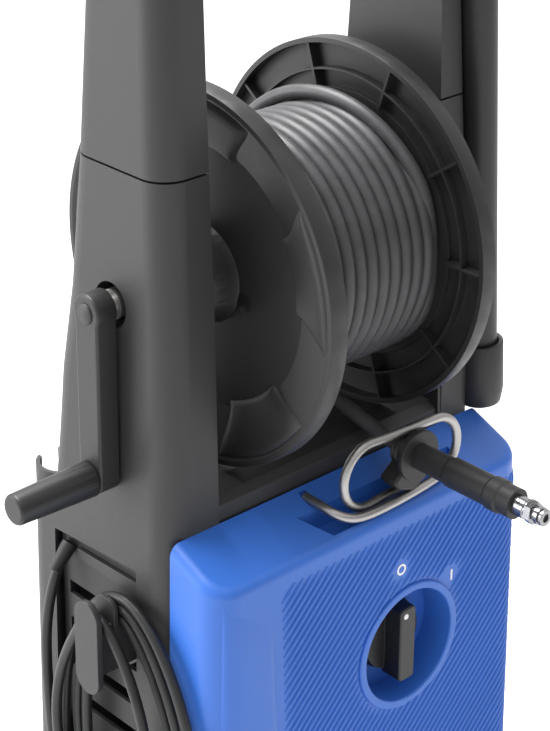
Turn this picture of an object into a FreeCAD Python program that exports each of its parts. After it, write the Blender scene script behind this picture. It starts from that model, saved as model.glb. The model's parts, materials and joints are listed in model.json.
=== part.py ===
"""Pressure washer with a hose reel: a FreeCAD document built from one sheet of driving dimensions.

Every sub-part is drawn about the middle of the hose reel (X to the right, -Y to the front, Z up) and
placed by the sheet's datum cells, which put the origin on the floor under the middle of the machine.
"""
import FreeCAD, Part
import math
import os
import re

import Sketcher
from FreeCAD import Rotation, Vector

os.makedirs("parts", exist_ok=True)
doc = FreeCAD.newDocument("pressure_washer")

# ---------------------------------------------------------------- driving dimensions (mm, degrees)
CELLS = {
    # datum: where the middle of the reel stands over the floor
    "datum_x": 10.009, "datum_y": -28.5, "axis_height": 560.0,
    # casing
    "wall": 3.0, "inner_face": 106.0, "front_line": 57.0, "rear_line": 95.0,
    "side_low": 152.0, "side_high": 147.0, "deck_level": 150.0, "casing_foot": 500.0,
    "seam_level": 91.0, "seam_gap": 1.5, "leg_top": 262.0,
    # front cover
    "cover_front": 103.0, "cover_top": 148.0, "cover_half": 144.5, "cover_half_low": 151.0,
    "well_x": 30.0, "well_drop": 276.0, "well_radius": 42.0, "well_depth": 24.0, "rim_radius": 48.0,
    "shaft_radius": 4.0, "shaft_bore": 4.06,
    # reel
    "flange_radius": 130.0, "left_rim": 76.0, "right_rim": 60.0, "right_back": 72.0, "drum_radius": 70.0,
    "drum_left": 61.0, "drum_right": 65.0, "winding_radius": 91.0, "hose_diameter": 10.4,
    "axle_radius": 10.0, "bush_bore": 10.06, "bush_radius": 16.0, "hub_hole": 15.5,
    # crank
    "crank_out": 163.0, "crank_in": 147.2, "crank_drop": 116.0, "grip_length": 61.0,
    # handle
    "tube_radius": 11.0, "tube_bore": 11.4, "tube_x": 122.0, "tube_y": -8.0, "bar_low": 286.0,
    # wheels
    "wheel_radius": 75.0, "wheel_y": 112.0, "wheel_drop": 485.0, "axle_rod": 6.0, "wheel_bore": 6.08,
    # mains lead
    "lead_diameter": 7.3,
    # lance
    "lance_radius": 13.0,
}
sheet = doc.addObject("Spreadsheet::Sheet", "Dims")
for row, (alias, number) in enumerate(CELLS.items(), start=1):
    sheet.set("A%d" % row, alias)
    sheet.set("B%d" % row, str(number))
    sheet.setAlias("B%d" % row, alias)
doc.recompute()

NAMED = re.compile(r"\b(" + "|".join(sorted(CELLS, key=len, reverse=True)) + r")\b")
subparts = []


def cell(alias):
    """Value of one driving dimension, read from the sheet."""
    return float(sheet.get(alias))


def ref(text):
    """Expression text with each alias pointing at the sheet."""
    return NAMED.sub(r"Dims.\1", str(text))


def value(text):
    """Number that a dimension text stands for now."""
    if not isinstance(text, str):
        return float(text)
    answer = sheet.evalExpression(NAMED.sub(lambda found: repr(cell(found.group(1))), text))
    return float(getattr(answer, "Value", answer))


def bind(item, **texts):
    """Bind properties to dimension texts; a double underscore stands for a dot."""
    for name, text in texts.items():
        item.setExpression(name.replace("__", "."), ref(text))


def seat(item, label, at=("0", "0", "0"), rotation=None):
    """Give a sub-part its label and its place: datum plus the offset of its own drawing origin."""
    item.Label = label
    if rotation is not None:
        item.Placement = FreeCAD.Placement(Vector(0, 0, 0), rotation)
    bind(item, Placement__Base__x="datum_x + (%s)" % at[0], Placement__Base__y="datum_y + (%s)" % at[1],
         Placement__Base__z="axis_height + (%s)" % at[2])
    subparts.append(item)
    return item


# ---------------------------------------------------------------- PartDesign helpers
def plane_of(body, role):
    return [feature for feature in body.Origin.OriginFeatures if feature.Role == role][0]


def new_body(label, at=("0", "0", "0"), rotation=None):
    body = doc.addObject("PartDesign::Body", "Body_" + label)
    return seat(body, label, at, rotation)


def new_sketch(body, plane, offset="0"):
    """Sketch on one of the body's own planes: XY looks along Z, XZ along -Y, YZ along X."""
    sketch = body.newObject("Sketcher::SketchObject", "Sketch")
    sketch.AttachmentSupport = [(plane_of(body, plane + "_Plane"), "")]
    sketch.MapMode = "FlatFace"
    bind(sketch, AttachmentOffset__Base__z=offset)
    return sketch


def pin_point(sketch, geometry, point, u, v):
    """Hold one point of a sketch at dimension texts u, v from the sketch's origin."""
    for kind, text in (("DistanceX", u), ("DistanceY", v)):
        index = sketch.addConstraint(Sketcher.Constraint(kind, -1, 1, geometry, point, value(text)))
        if isinstance(text, str):
            sketch.setExpression("Constraints[%d]" % index, ref(text))


def draw_outline(sketch, points):
    """Closed polygon through (u, v) dimension texts."""
    first = len(sketch.Geometry)
    places = [Vector(value(u), value(v), 0) for u, v in points]
    count = len(places)
    for index in range(count):
        sketch.addGeometry(Part.LineSegment(places[index], places[(index + 1) % count]), False)
    for index in range(count):
        follower = first + (index + 1) % count
        sketch.addConstraint(Sketcher.Constraint("Coincident", first + index, 2, follower, 1))
    for index, (u, v) in enumerate(points):
        pin_point(sketch, first + index, 1, u, v)


def draw_circle(sketch, u, v, radius):
    index = sketch.addGeometry(Part.Circle(Vector(value(u), value(v), 0), Vector(0, 0, 1), value(radius)))
    pin_point(sketch, index, 3, u, v)
    hold = sketch.addConstraint(Sketcher.Constraint("Radius", index, value(radius)))
    if isinstance(radius, str):
        sketch.setExpression("Constraints[%d]" % hold, ref(radius))


def draw(sketch, shapes):
    for shape in shapes:
        if len(shape) == 3 and not isinstance(shape[0], tuple):
            draw_circle(sketch, *shape)
        else:
            draw_outline(sketch, shape)


def extrude(body, kind, plane, shapes, start, length, reverse=False):
    """Pad or Pocket of closed shapes from one plane offset; a circle is (u, v, radius)."""
    before = body.Shape.Volume if body.Tip else 0.0
    sketch = new_sketch(body, plane, start)
    draw(sketch, shapes)
    feature = body.newObject("PartDesign::" + kind, kind)
    feature.Profile = sketch
    bind(feature, Length=length)
    # A pocket cuts against its sketch's normal and a pad grows along it.
    feature.Reversed = reverse if kind == "Pad" else not reverse
    doc.recompute()
    change = body.Shape.Volume - before
    if "Invalid" in feature.State or change * (1 if kind == "Pad" else -1) <= 0:
        raise RuntimeError("%s in %s changed nothing" % (kind, body.Label))
    return feature


def pad(body, plane, shapes, start, length, reverse=False):
    return extrude(body, "Pad", plane, shapes, start, length, reverse)


def pocket(body, plane, shapes, start, length, reverse=False):
    return extrude(body, "Pocket", plane, shapes, start, length, reverse)


def turn(body, plane, points, axis, kind="Revolution"):
    """Revolve a polygon about the sketch's own horizontal (H) or vertical (V) axis."""
    sketch = new_sketch(body, plane)
    draw_outline(sketch, points)
    feature = body.newObject("PartDesign::" + kind, kind)
    feature.Profile = sketch
    feature.ReferenceAxis = (sketch, [axis + "_Axis"])
    feature.Angle = 360.0
    doc.recompute()
    return feature


def turned(label, plane, points, axis, at=("0", "0", "0"), rotation=None):
    """Whole sub-part turned from one polygon."""
    body = new_body(label, at, rotation)
    turn(body, plane, points, axis)
    return body


def round_edges(body, radius, wanted, kind="Fillet"):
    """Fillet the edges of the body's tip whose middle point and direction satisfy the test."""
    tip = body.Tip
    names = []
    for index, edge in enumerate(tip.Shape.Edges, start=1):
        middle = edge.valueAt((edge.FirstParameter + edge.LastParameter) / 2)
        first = edge.valueAt(edge.FirstParameter)
        last = edge.valueAt(edge.LastParameter)
        if wanted(middle, last - first):
            names.append("Edge%d" % index)
    if not names:
        raise RuntimeError("no edge to round in " + body.Label)
    feature = body.newObject("PartDesign::" + kind, kind)
    feature.Base = (tip, names)
    if kind == "Fillet":
        feature.Radius = radius
    else:
        feature.Size = radius
    doc.recompute()
    if "Invalid" in feature.State or not body.Shape.isValid():
        raise RuntimeError("rounding of %s in %s failed" % (", ".join(names), body.Label))
    return feature


def along(direction, axis, share=0.98):
    """Whether an edge's chord runs along one axis."""
    length = direction.Length
    return length > 0 and abs(direction[axis]) / length > share


def box_points(low_u, high_u, low_v, high_v):
    return [(low_u, low_v), (high_u, low_v), (high_u, high_v), (low_u, high_v)]


def block(label, low_x, high_x, low_y, high_y, low_z, high_z, rounding=0.0, axis=2):
    """Rectangular sub-part between two corners, its edges along one axis rounded."""
    body = new_body(label)
    height = "(%s) - (%s)" % (high_z, low_z)
    pad(body, "XY", [box_points(low_x, high_x, low_y, high_y)], low_z, height)
    if rounding:
        round_edges(body, rounding, lambda middle, chord: along(chord, axis))
    return body


def feature_of(label, shape):
    """Sub-part whose shape comes from Part's own functions."""
    item = doc.addObject("Part::Feature", "Shape_" + label)
    item.Shape = shape if shape.ShapeType == "Compound" and len(shape.Solids) > 1 else shape.removeSplitter()
    return seat(item, label)


def group(label, items):
    """One sub-part made of separate alike pieces, each already in its place."""
    for item in items:
        subparts.remove(item)
    compound = doc.addObject("Part::Compound", "Group_" + label)
    compound.Label = label
    compound.Links = items
    subparts.append(compound)
    return compound


# ---------------------------------------------------------------- Part helpers
def rod(start, end, radius):
    """Cylinder between two points."""
    span = Vector(*end) - Vector(*start)
    return Part.makeCylinder(radius, span.Length, Vector(*start), span)


def pipe_path(route):
    """Straight runs joined by tangent arcs as large as the two runs allow, with the arcs' radii."""
    places = [Vector(*point) for point in route]
    edges, radii, last = [], [], places[0]
    for index in range(1, len(places) - 1):
        before = places[index] - places[index - 1]
        after = places[index + 1] - places[index]
        half = before.getAngle(after) / 2
        shorter = min(before.Length, after.Length)
        reach = 0.45 * shorter
        before.normalize()
        after.normalize()
        entry = places[index] - before * reach
        leave = places[index] + after * reach
        radius = reach / math.tan(half)
        radii.append(radius)
        inward = (after - before).normalize()
        middle = places[index] + inward * (radius / math.cos(half) - radius)
        edges.append(Part.LineSegment(last, entry).toShape())
        edges.append(Part.Arc(entry, middle, leave).toShape())
        last = leave
    edges.append(Part.LineSegment(last, places[-1]).toShape())
    return Part.Wire(edges), radii


def pipe(label, route, radius):
    """Round tube along a route; its volume is compared with its section times its length."""
    path, radii = pipe_path(route)
    start = Vector(*route[0])
    heading = Vector(*route[1]) - start
    section = Part.Wire([Part.makeCircle(radius, start, heading)])
    solid = path.makePipeShell([section], True, False)
    expected = math.pi * radius ** 2 * path.Length
    if abs(solid.Volume / expected - 1) > 0.01:
        raise RuntimeError("%s is not a true sweep" % label)
    tightest = min(radii) if radii else 0.0
    print("%s: length %.0f, tightest radius %.1f" % (label, path.Length, tightest))
    return solid


def side_section(level, outer, front, back, inner, corner, side, mid_gap=0.0):
    """Horizontal section of a side shell: square on the inside, rounded on the outside."""
    low_y = -front + mid_gap
    high_y = back - mid_gap
    out_x = outer - mid_gap
    bend = corner - mid_gap
    cut = bend * (1 - math.sqrt(0.5))
    points = [
        Vector(side * inner, low_y, level), Vector(side * (out_x - bend), low_y, level),
        Vector(side * (out_x - cut), low_y + cut, level), Vector(side * out_x, low_y + bend, level),
        Vector(side * out_x, high_y - bend, level), Vector(side * (out_x - cut), high_y - cut, level),
        Vector(side * (out_x - bend), high_y, level), Vector(side * inner, high_y, level),
    ]
    return Part.Wire([
        Part.LineSegment(points[0], points[1]).toShape(),
        Part.Arc(points[1], points[2], points[3]).toShape(),
        Part.LineSegment(points[3], points[4]).toShape(),
        Part.Arc(points[4], points[5], points[6]).toShape(),
        Part.LineSegment(points[6], points[7]).toShape(),
        Part.LineSegment(points[7], points[0]).toShape(),
    ])


def side_loft(stations, side, gap=0.0, inner=None, corner=19.0):
    """Solid through side sections; a gap shrinks it inside the outer skin."""
    start = cell("inner_face") if inner is None else inner
    wires = [side_section(level, outer, front, back, start, corner, side, gap)
             for level, outer, front, back in stations]
    return Part.makeLoft(wires, True, True)


def slot_box(low, high):
    return Part.makeBox(high[0] - low[0], high[1] - low[1], high[2] - low[2], Vector(*low))


# Stations of the side shells: level, outer x, distance of the front line, rear line.
TOWER = [
    (-cell("casing_foot"), cell("side_low"), cell("front_line"), cell("rear_line")),
    (-178.0, cell("side_high"), cell("front_line"), cell("rear_line")),
    (-cell("deck_level"), 146.5, cell("front_line"), 71.0),
    (-106.0, 145.5, cell("front_line"), 66.0),
    (-63.0, 144.5, 56.0, 62.0),
    (0.0, 143.0, 53.5, 51.0),
    (cell("seam_level"), 140.5, 49.0, 42.0),
]
LEG = [
    (cell("seam_level") + cell("seam_gap"), 140.5, 49.0, 42.0),
    (200.0, 138.0, 45.0, 34.5),
    (cell("leg_top"), 136.5, 42.5, 30.0),
]
# The lance leans in with the tower: its axis passes through these two points.
LANCE_LOW = Vector(148.5, -52.5, -95.0)
LANCE_HIGH = Vector(135.5, -48.0, 190.0)
LANCE_AXIS = (LANCE_HIGH - LANCE_LOW).normalize()
CUP_OUTER = 17.6


def lance_point(level):
    return LANCE_LOW + LANCE_AXIS * ((level - LANCE_LOW.z) / LANCE_AXIS.z)


# ---------------------------------------------------------------- side shells and towers
def shift_levels(stations, low, high):
    """Stations with their first and last levels moved."""
    moved = [list(station) for station in stations]
    moved[0][0] += low
    moved[-1][0] += high
    return moved


VENT_LEVELS = [-226.0 - 29.0 * step for step in range(6)]


def side_shell(side, label):
    """Outer half of one side: a thin tapering shell, open towards the middle of the machine."""
    wall = cell("wall")
    skin = side_loft(TOWER, side)
    hollow = side_loft(shift_levels(TOWER, -1.0, -wall), side, wall, cell("inner_face") - 1.0)
    shell = skin.cut(hollow)
    arch = Part.makeCylinder(cell("wheel_radius") + 8.0, 120.0,
                             Vector(side * 100.0, cell("wheel_y"), -cell("wheel_drop")), Vector(side, 0, 0))
    shell = shell.cut(arch)
    window = [Vector(0, -25.0, -420.0), Vector(0, 27.0, -392.0), Vector(0, 50.0, -360.0),
              Vector(0, 62.0, -330.0), Vector(0, 62.0, -186.0), Vector(0, -25.0, -180.0)]
    frame = Part.Face(Part.makePolygon([point + Vector(side * 130.0, 0, 0) for point in window + window[:1]]))
    shell = shell.cut(frame.extrude(Vector(side * 40.0, 0, 0)))
    hub = Part.makeCylinder(cell("hub_hole"), 30.0, Vector(side * 130.0, 0, 0), Vector(side, 0, 0))
    if side < 0:
        collar = Part.makeCylinder(cell("hub_hole") + 3.0, 12.0, Vector(-142.0, 0, 0), Vector(1, 0, 0))
        shell = shell.fuse(collar).cut(hub)
        shell = shell.cut(Part.makeCylinder(cell("hub_hole"), 20.0, Vector(-146.0, 0, 0), Vector(1, 0, 0)))
    else:
        shell = lance_groove(shell, skin, -150.0, cell("seam_level"))
        shell = shell.cut(rod(tuple(lance_point(-150.0)), tuple(lance_point(-96.0)), CUP_OUTER + 0.5))
    post = Part.makeCylinder(cell("tube_radius") + 3.4, 74.0, tube_place(side, 28.0))
    bore = Part.makeCylinder(cell("tube_bore"), 80.0, tube_place(side, 25.0))
    top = Part.makeCylinder(cell("tube_bore"), 40.0, tube_place(side, 90.0))
    web = slot_box((min(side * 134.0, side * 142.0), cell("tube_y") - 2.0, 28.0),
                   (max(side * 134.0, side * 142.0), cell("tube_y") + 2.0, 90.0))
    shell = shell.fuse([post, web.common(skin)]).cut(bore).cut(top)
    return feature_of(label, shell)


def tube_place(side, level):
    return Vector(side * cell("tube_x"), cell("tube_y"), level)


def lance_groove(shell, skin, low, high):
    """Round channel down the front outer corner that the lance lies in."""
    wall = cell("wall")
    reach = cell("lance_radius") + 2.5
    lining = rod(tuple(lance_point(low)), tuple(lance_point(high + 5.0)), reach + wall).common(skin)
    channel = rod(tuple(lance_point(low - 20.0)), tuple(lance_point(high + 30.0)), reach)
    return shell.fuse(lining).cut(channel)


def leg_cover(side, label):
    """Upper leg above the seam: a closed shell that the handle's tube slides in."""
    wall = cell("wall")
    skin = side_loft(LEG, side, 0.0, cell("inner_face") - wall)
    hollow = side_loft(shift_levels(LEG, -1.0, -wall), side, wall, cell("inner_face"))
    shell = skin.cut(hollow)
    if side > 0:
        shell = lance_groove(shell, skin, cell("seam_level"), cell("leg_top"))
    sleeve = Part.makeCylinder(cell("tube_radius") + 3.4, 60.0, tube_place(side, cell("leg_top") - 60.0))
    bore = Part.makeCylinder(cell("tube_bore"), 80.0, tube_place(side, cell("leg_top") - 70.0))
    return feature_of(label, shell.fuse(sleeve.common(skin)).cut(bore))


def inner_panel(side, label):
    """Flat inner half that closes a tower and carries the reel's bearing."""
    body = new_body(label)
    outline = [("-front_line", "-deck_level"), (-53.5, 0.0), (-49.0, "seam_level"), (42.0, "seam_level"),
               (51.0, 0.0), (62.0, -63.0), (66.0, -106.0), (71.0, "-deck_level")]
    start = "inner_face - wall" if side > 0 else "wall - inner_face"
    pad(body, "YZ", [outline, (0.0, 0.0, "bush_radius")], start, "wall", reverse=side < 0)
    return body


left_side = side_shell(-1, "left_side_shell")
right_side = side_shell(1, "right_side_shell")
group("leg_covers", [leg_cover(-1, "left_leg"), leg_cover(1, "right_leg")])
group("tower_inner_panels", [inner_panel(-1, "left_inner"), inner_panel(1, "right_inner")])


def vent_panel(side, label):
    """Recessed louvre panel that fills the window in a side shell."""
    body = new_body(label)
    outline = [(-25.0, -420.0), (27.0, -392.0), (50.0, -360.0), (62.0, -330.0), (62.0, -186.0), (-25.0, -180.0)]
    start = "side_high - 9" if side > 0 else "9 - side_high"
    pad(body, "YZ", [outline], start, 3.0, reverse=side < 0)
    ledge = [(-24.5, -203.0), (40.0, -200.0), (40.0, -193.0), (-24.5, -191.0)]
    pad(body, "YZ", [ledge], "side_high - 7" if side > 0 else "7 - side_high", 5.0, reverse=side < 0)
    slots = [box_points(-18.0 if level > -330.0 else -14.0, high, level - 10.0, level)
             for level, high in zip(VENT_LEVELS, (55.0, 55.0, 55.0, 55.0, 44.0, 24.0))]
    pocket(body, "YZ", slots, "side_high - 12" if side > 0 else "12 - side_high", 8.0, reverse=side < 0)
    return body


group("vent_panels", [vent_panel(-1, "left_vent"), vent_panel(1, "right_vent")])

# ---------------------------------------------------------------- rear panel, deck, base
rear = new_body("rear_panel")
pad(rear, "XZ", [box_points("-inner_face", "inner_face", "-casing_foot", "-deck_level")],
    "-rear_line", 4.0)
pocket(rear, "XZ", [box_points(-70.0, 70.0, level - 8.0, level) for level in VENT_LEVELS[:5]],
       "-rear_line - 5", 14.0)
pocket(rear, "XZ", [(60.0, -440.0, 14.0)], "-rear_line - 5", 14.0)

tray = new_body("reel_tray")
pad(tray, "YZ", [[("-front_line + 2", "-deck_level"), ("rear_line", "-deck_level"), ("rear_line", -146.0),
                  (60.0, -128.0), (-48.0, -132.0), ("-front_line + 2", -137.0)]],
    "wall - inner_face", "2 * (inner_face - wall)")
for low, high in ((-82.0, -56.0), (54.0, 78.0)):
    pocket(tray, "YZ", [(0.0, 0.0, "flange_radius + 5")], low, high - low)

base = new_body("base_frame")
pad(base, "XY", [[(-148.0, -98.0), (148.0, -98.0), (148.0, 12.0), (104.0, 30.0), (104.0, 138.0),
                  (-104.0, 138.0), (-104.0, 30.0), (-148.0, 12.0)]], -548.0, 48.0)
round_edges(base, 12.0, lambda middle, chord: along(chord, 2) and middle.y < -90)
round_edges(base, 8.0, lambda middle, chord: along(chord, 2) and middle.y > 130)
pocket(base, "XY", [[(-144.0, -94.0), (144.0, -94.0), (144.0, 8.0), (100.0, 26.0), (100.0, 134.0),
                     (-100.0, 134.0), (-100.0, 26.0), (-144.0, 8.0)]], -549.0, 45.0)
pad(base, "YZ", [("wheel_y", "-wheel_drop", 14.0)], -104.0, 208.0)
pocket(base, "YZ", [("wheel_y", "-wheel_drop", "axle_rod")], -120.0, 240.0)

group("front_feet", [block("foot_%d" % centre, centre - 22.0, centre + 22.0, -92.0, -66.0, -560.0, -548.0, 6.0)
                     for centre in (-110.0, 110.0)])

# ---------------------------------------------------------------- front cover
cover = new_body("front_cover")
pad(cover, "YZ", [box_points("-cover_front", "-front_line", "-casing_foot", "-cover_top")],
    "-side_low", "2 * side_low")
for side in (-1, 1):
    pocket(cover, "XZ", [[(side * 170.0, -140.0), ("%d * cover_half" % side, -140.0),
                          ("%d * cover_half_low" % side, "-casing_foot - 10"), (side * 170.0, "-casing_foot - 10")]],
           40.0, 80.0)
round_edges(cover, 20.0, lambda middle, chord: middle.y < -100 and abs(middle.x) > 140 and abs(chord.z) > 10)
pocket(cover, "YZ", [[("-front_line", "-cover_top"), ("-cover_front - 10", "-cover_top - 24"),
                      ("-cover_front - 10", -130.0), ("-front_line", -130.0)]], -200.0, 400.0)
round_edges(cover, 8.0, lambda middle, chord: middle.z > -175 and abs(chord.z) < 14 and abs(chord.z) < chord.Length * 0.6
            and not (abs(middle.y + cell("front_line")) < 0.5))
# Hollow in two depths, so the wall stays even behind the rounded corners.
for half_cut, top, deep in ((3.0, -163.0, 27.0), (17.5, -172.0, 43.0)):
    pocket(cover, "XZ", [[("%g - cover_half" % half_cut, top), ("%g - cover_half_low" % half_cut, "-casing_foot - 10"),
                          ("cover_half_low - %g" % half_cut, "-casing_foot - 10"), ("cover_half - %g" % half_cut, top)]],
           "front_line", deep)
# Trough at the top for the hose guide, and the cup of the switch well.
TROUGH_LEFT, TROUGH_RIGHT, TROUGH_BACK, TROUGH_FRONT, TROUGH_FLOOR = -52.0, 94.0, -75.0, -97.0, -172.0
pad(cover, "YZ", [[(TROUGH_FRONT - 3.0, TROUGH_FLOOR - 3.0), (TROUGH_BACK + 3.0, TROUGH_FLOOR - 3.0),
                   (TROUGH_BACK + 3.0, -162.0), (-84.5, -162.0), (-84.5, -171.0), (TROUGH_FRONT - 3.0, -171.0)]],
    TROUGH_LEFT - 3.0, TROUGH_RIGHT - TROUGH_LEFT + 6.0)
pocket(cover, "XY", [[(TROUGH_LEFT + 14.0, TROUGH_FRONT), (TROUGH_RIGHT, TROUGH_FRONT), (TROUGH_RIGHT, TROUGH_BACK),
                      (TROUGH_LEFT, TROUGH_BACK)]], TROUGH_FLOOR, 40.0)
pad(cover, "XZ", [("well_x", "-well_drop", "rim_radius")], "cover_front - 1", 3.0)
pad(cover, "XZ", [("well_x", "-well_drop", "rim_radius - 2")], "cover_front - well_depth - 3", "well_depth + 2")
pocket(cover, "XZ", [("well_x", "-well_drop", "well_radius")], "cover_front - well_depth", "well_depth + 6")
pocket(cover, "XZ", [("well_x", "-well_drop", "shaft_bore")], "cover_front - well_depth - 10", 20.0)
round_edges(cover, 1.2, lambda middle, chord: middle.y < -104.5)
WIRE = 3.25
LOOP_X, LOOP_Y, LOOP_Z = 29.0, -92.0, -137.0
WIRE_IN = (-33.0, -152.0)
WIRE_OUT = (62.0, -158.0)
for u, v in (WIRE_IN, WIRE_OUT):
    pocket(cover, "XZ", [(u, v, WIRE + 0.4)], 60.0, 22.0)

# ---------------------------------------------------------------- hose guide: one bent steel wire
def loop_route():
    """Pigtail wire: in through the left hole, along the front, round the loop, back in behind it."""
    half_long, end = 55.0 - WIRE, 26.5 - WIRE
    left, right = LOOP_X - half_long + end, LOOP_X + half_long - end
    low, high = LOOP_Z - end, LOOP_Z + end
    turns = [(-33.0, -64.0, WIRE_IN[1]), (-33.0, -78.0, WIRE_IN[1] - 0.5), (-31.0, -89.0, WIRE_IN[1] - 2.0),
             (-22.0, -96.5, WIRE_IN[1] - 6.0), (left + 14.0, -98.0, low - 1.5), (right, -96.5, low)]
    for step in range(-2, 3):
        angle = math.radians(36.0 * step)
        turns.append((right + 1.18 * end * math.cos(angle), -95.0, LOOP_Z + 1.06 * end * math.sin(angle)))
    turns += [(right, -93.5, high), (left, -91.5, high)]
    for step in range(-2, 3):
        angle = math.radians(180.0 + 36.0 * step)
        turns.append((left + 1.18 * end * math.cos(angle), -90.0, LOOP_Z + 1.06 * end * math.sin(angle)))
    out_x, out_z = WIRE_OUT
    turns += [(left, -88.0, low), (out_x - 22.0, -87.0, low - 0.4), (out_x - 7.0, -84.0, out_z - 0.6),
              (out_x, -76.0, out_z), (out_x, -64.0, out_z)]
    return turns


feature_of("guide_loop", pipe("guide_loop", loop_route(), WIRE))

# ---------------------------------------------------------------- reel, turned about X
turned("left_flange", "XY", [
    ("-drum_left", "axle_radius + 0.02"), ("-drum_left", 92.0), (-69.0, 122.0), (-69.0, 126.5),
    (-62.0, 126.5), (-62.0, "flange_radius"), ("-left_rim", "flange_radius"), ("-left_rim", 126.0),
    (-73.0, 122.0), (-65.0, 92.0), (-65.0, 34.0), (-84.0, 30.0), (-84.0, "axle_radius + 0.02")], "H")
right_flange = turned("right_flange", "XY", [
    ("drum_right", "axle_radius + 0.02"), ("drum_right", 95.0), ("right_back - 3", 95.0),
    ("right_back - 3", 126.5), ("right_rim", 126.5), ("right_rim", "flange_radius"),
    ("right_back", "flange_radius"), ("right_back", 91.0), (68.0, 91.0), (68.0, 30.0), (84.0, 30.0),
    (84.0, "axle_radius + 0.02")], "H")
turn(right_flange, "XY", [("right_rim + 2", 107.5), ("right_back - 2", 107.5), ("right_back - 2", 109.0),
                          ("right_rim + 2", 109.0)], "H")
RIB_COUNT, RIB_FIRST, RIB_HALF = 10, 36.5, 1.0
ribs = []
for index in range(RIB_COUNT):
    angle = math.radians(RIB_FIRST + 360.0 / RIB_COUNT * index)
    radial = Vector(math.cos(angle), math.sin(angle), 0)
    across = Vector(-math.sin(angle), math.cos(angle), 0) * RIB_HALF
    corners = [radial * 94.0 - across, radial * 127.0 - across, radial * 127.0 + across, radial * 94.0 + across]
    ribs.append([(corner.x, corner.y) for corner in corners])
pad(right_flange, "YZ", ribs, "right_rim + 2", "right_back - right_rim - 4")
turned("reel_drum", "XY", [("-drum_left", "drum_radius - 3"), ("drum_right", "drum_radius - 3"),
                           ("drum_right", "drum_radius"), ("-drum_left", "drum_radius")], "H")
turned("reel_axle", "XY", [(-157.0, 0.0), (-157.0, 6.0), (-142.0, 6.0), (-142.0, "axle_radius"),
                           (118.0, "axle_radius"), (118.0, 0.0)], "H")
turned("left_bush", "XY", [(-100.0, "bush_bore"), (-100.0, 20.0), (-103.0, 20.0), (-103.0, "bush_radius"),
                           (-112.0, "bush_radius"), (-112.0, "bush_bore")], "H")
turned("right_swivel", "XY", [(100.0, "bush_bore"), (119.0, "bush_bore"), (119.0, 0.0), (134.0, 0.0),
                              (134.0, "bush_radius"), (103.0, "bush_radius"), (103.0, 20.0), (100.0, 20.0)], "H")
turned("hose_winding", "XY", [("-drum_left + 0.6", "drum_radius + 0.3"), ("drum_right - 0.6", "drum_radius + 0.3"),
                              ("drum_right - 0.6", "winding_radius"), ("-drum_left + 0.6", "winding_radius")], "H")

# ---------------------------------------------------------------- crank
arm = new_body("crank_arm")
pad(arm, "YZ", [[(-11.0, 0.0), (-11.0, -126.0), (11.0, -126.0), (11.0, 0.0)]], "-crank_in", "crank_out - crank_in",
    reverse=True)
pad(arm, "YZ", [(0.0, 0.0, 12.5)], "-crank_in", "crank_out - crank_in", reverse=True)
round_edges(arm, 8.0, lambda middle, chord: along(chord, 0) and middle.z < -120)
round_edges(arm, 2.0, lambda middle, chord: middle.x < -162.9)
pocket(arm, "YZ", [(0.0, 0.0, 6.02)], "-crank_in + 1", 14.5, reverse=True)
turned("crank_pin", "XY", [("-crank_out - 54", 0.0), ("-crank_out - 54", "shaft_radius"),
                           ("-crank_out", "shaft_radius"), ("-crank_out", 0.0)], "H", ("0", "0", "-crank_drop"))
grip = turned("crank_grip", "XY", [
    ("-crank_out - 0.3", "shaft_bore"), ("-crank_out - 0.3", 12.0), ("-crank_out - 30", 11.2),
    ("-crank_out - grip_length", 10.4), ("-crank_out - grip_length", 0.0), ("-crank_out - 54.6", 0.0),
    ("-crank_out - 54.6", "shaft_bore")], "H", ("0", "0", "-crank_drop"))
round_edges(grip, 2.5, lambda middle, chord: middle.x < -cell("crank_out") - cell("grip_length") + 0.1)

# ---------------------------------------------------------------- telescopic handle
group("handle_tubes", [turned("tube_%d" % (side + 2), "XZ", [
    ("tube_radius - 1.5", 40.0), ("tube_radius", 40.0), ("tube_radius", "bar_low"),
    ("tube_radius - 1.5", "bar_low")], "V", ("%d * tube_x" % side, "tube_y", "0")) for side in (-1, 1)])
bar = new_body("handle_bar", ("0", "tube_y", "0"))
for side in (-1, 1):
    low, high = sorted((side * 102.0, side * 134.0))
    pad(bar, "XY", [box_points(low, high, -17.0, 17.0)], "bar_low", 38.0)
round_edges(bar, 9.0, lambda middle, chord: along(chord, 1) and middle.z > cell("bar_low") + 30)
pad(bar, "YZ", [(0.0, "bar_low + 19", 14.0)], -104.0, 208.0)
pocket(bar, "XY", [(-118.0, 0.0, 8.5)], "bar_low + 26", 20.0)
turned("handle_grip", "XY", [(-88.0, 14.05), (88.0, 14.05), (88.0, 16.0), (84.0, 17.5), (-84.0, 17.5), (-88.0, 16.0)],
       "H", ("0", "tube_y", "bar_low + 19"))
turned("release_button", "XZ", [(0.0, "bar_low + 31"), (8.0, "bar_low + 31"), (8.0, "bar_low + 41"),
                                (7.0, "bar_low + 42"), (0.0, "bar_low + 42")], "V", ("-118", "tube_y", "0"))

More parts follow.
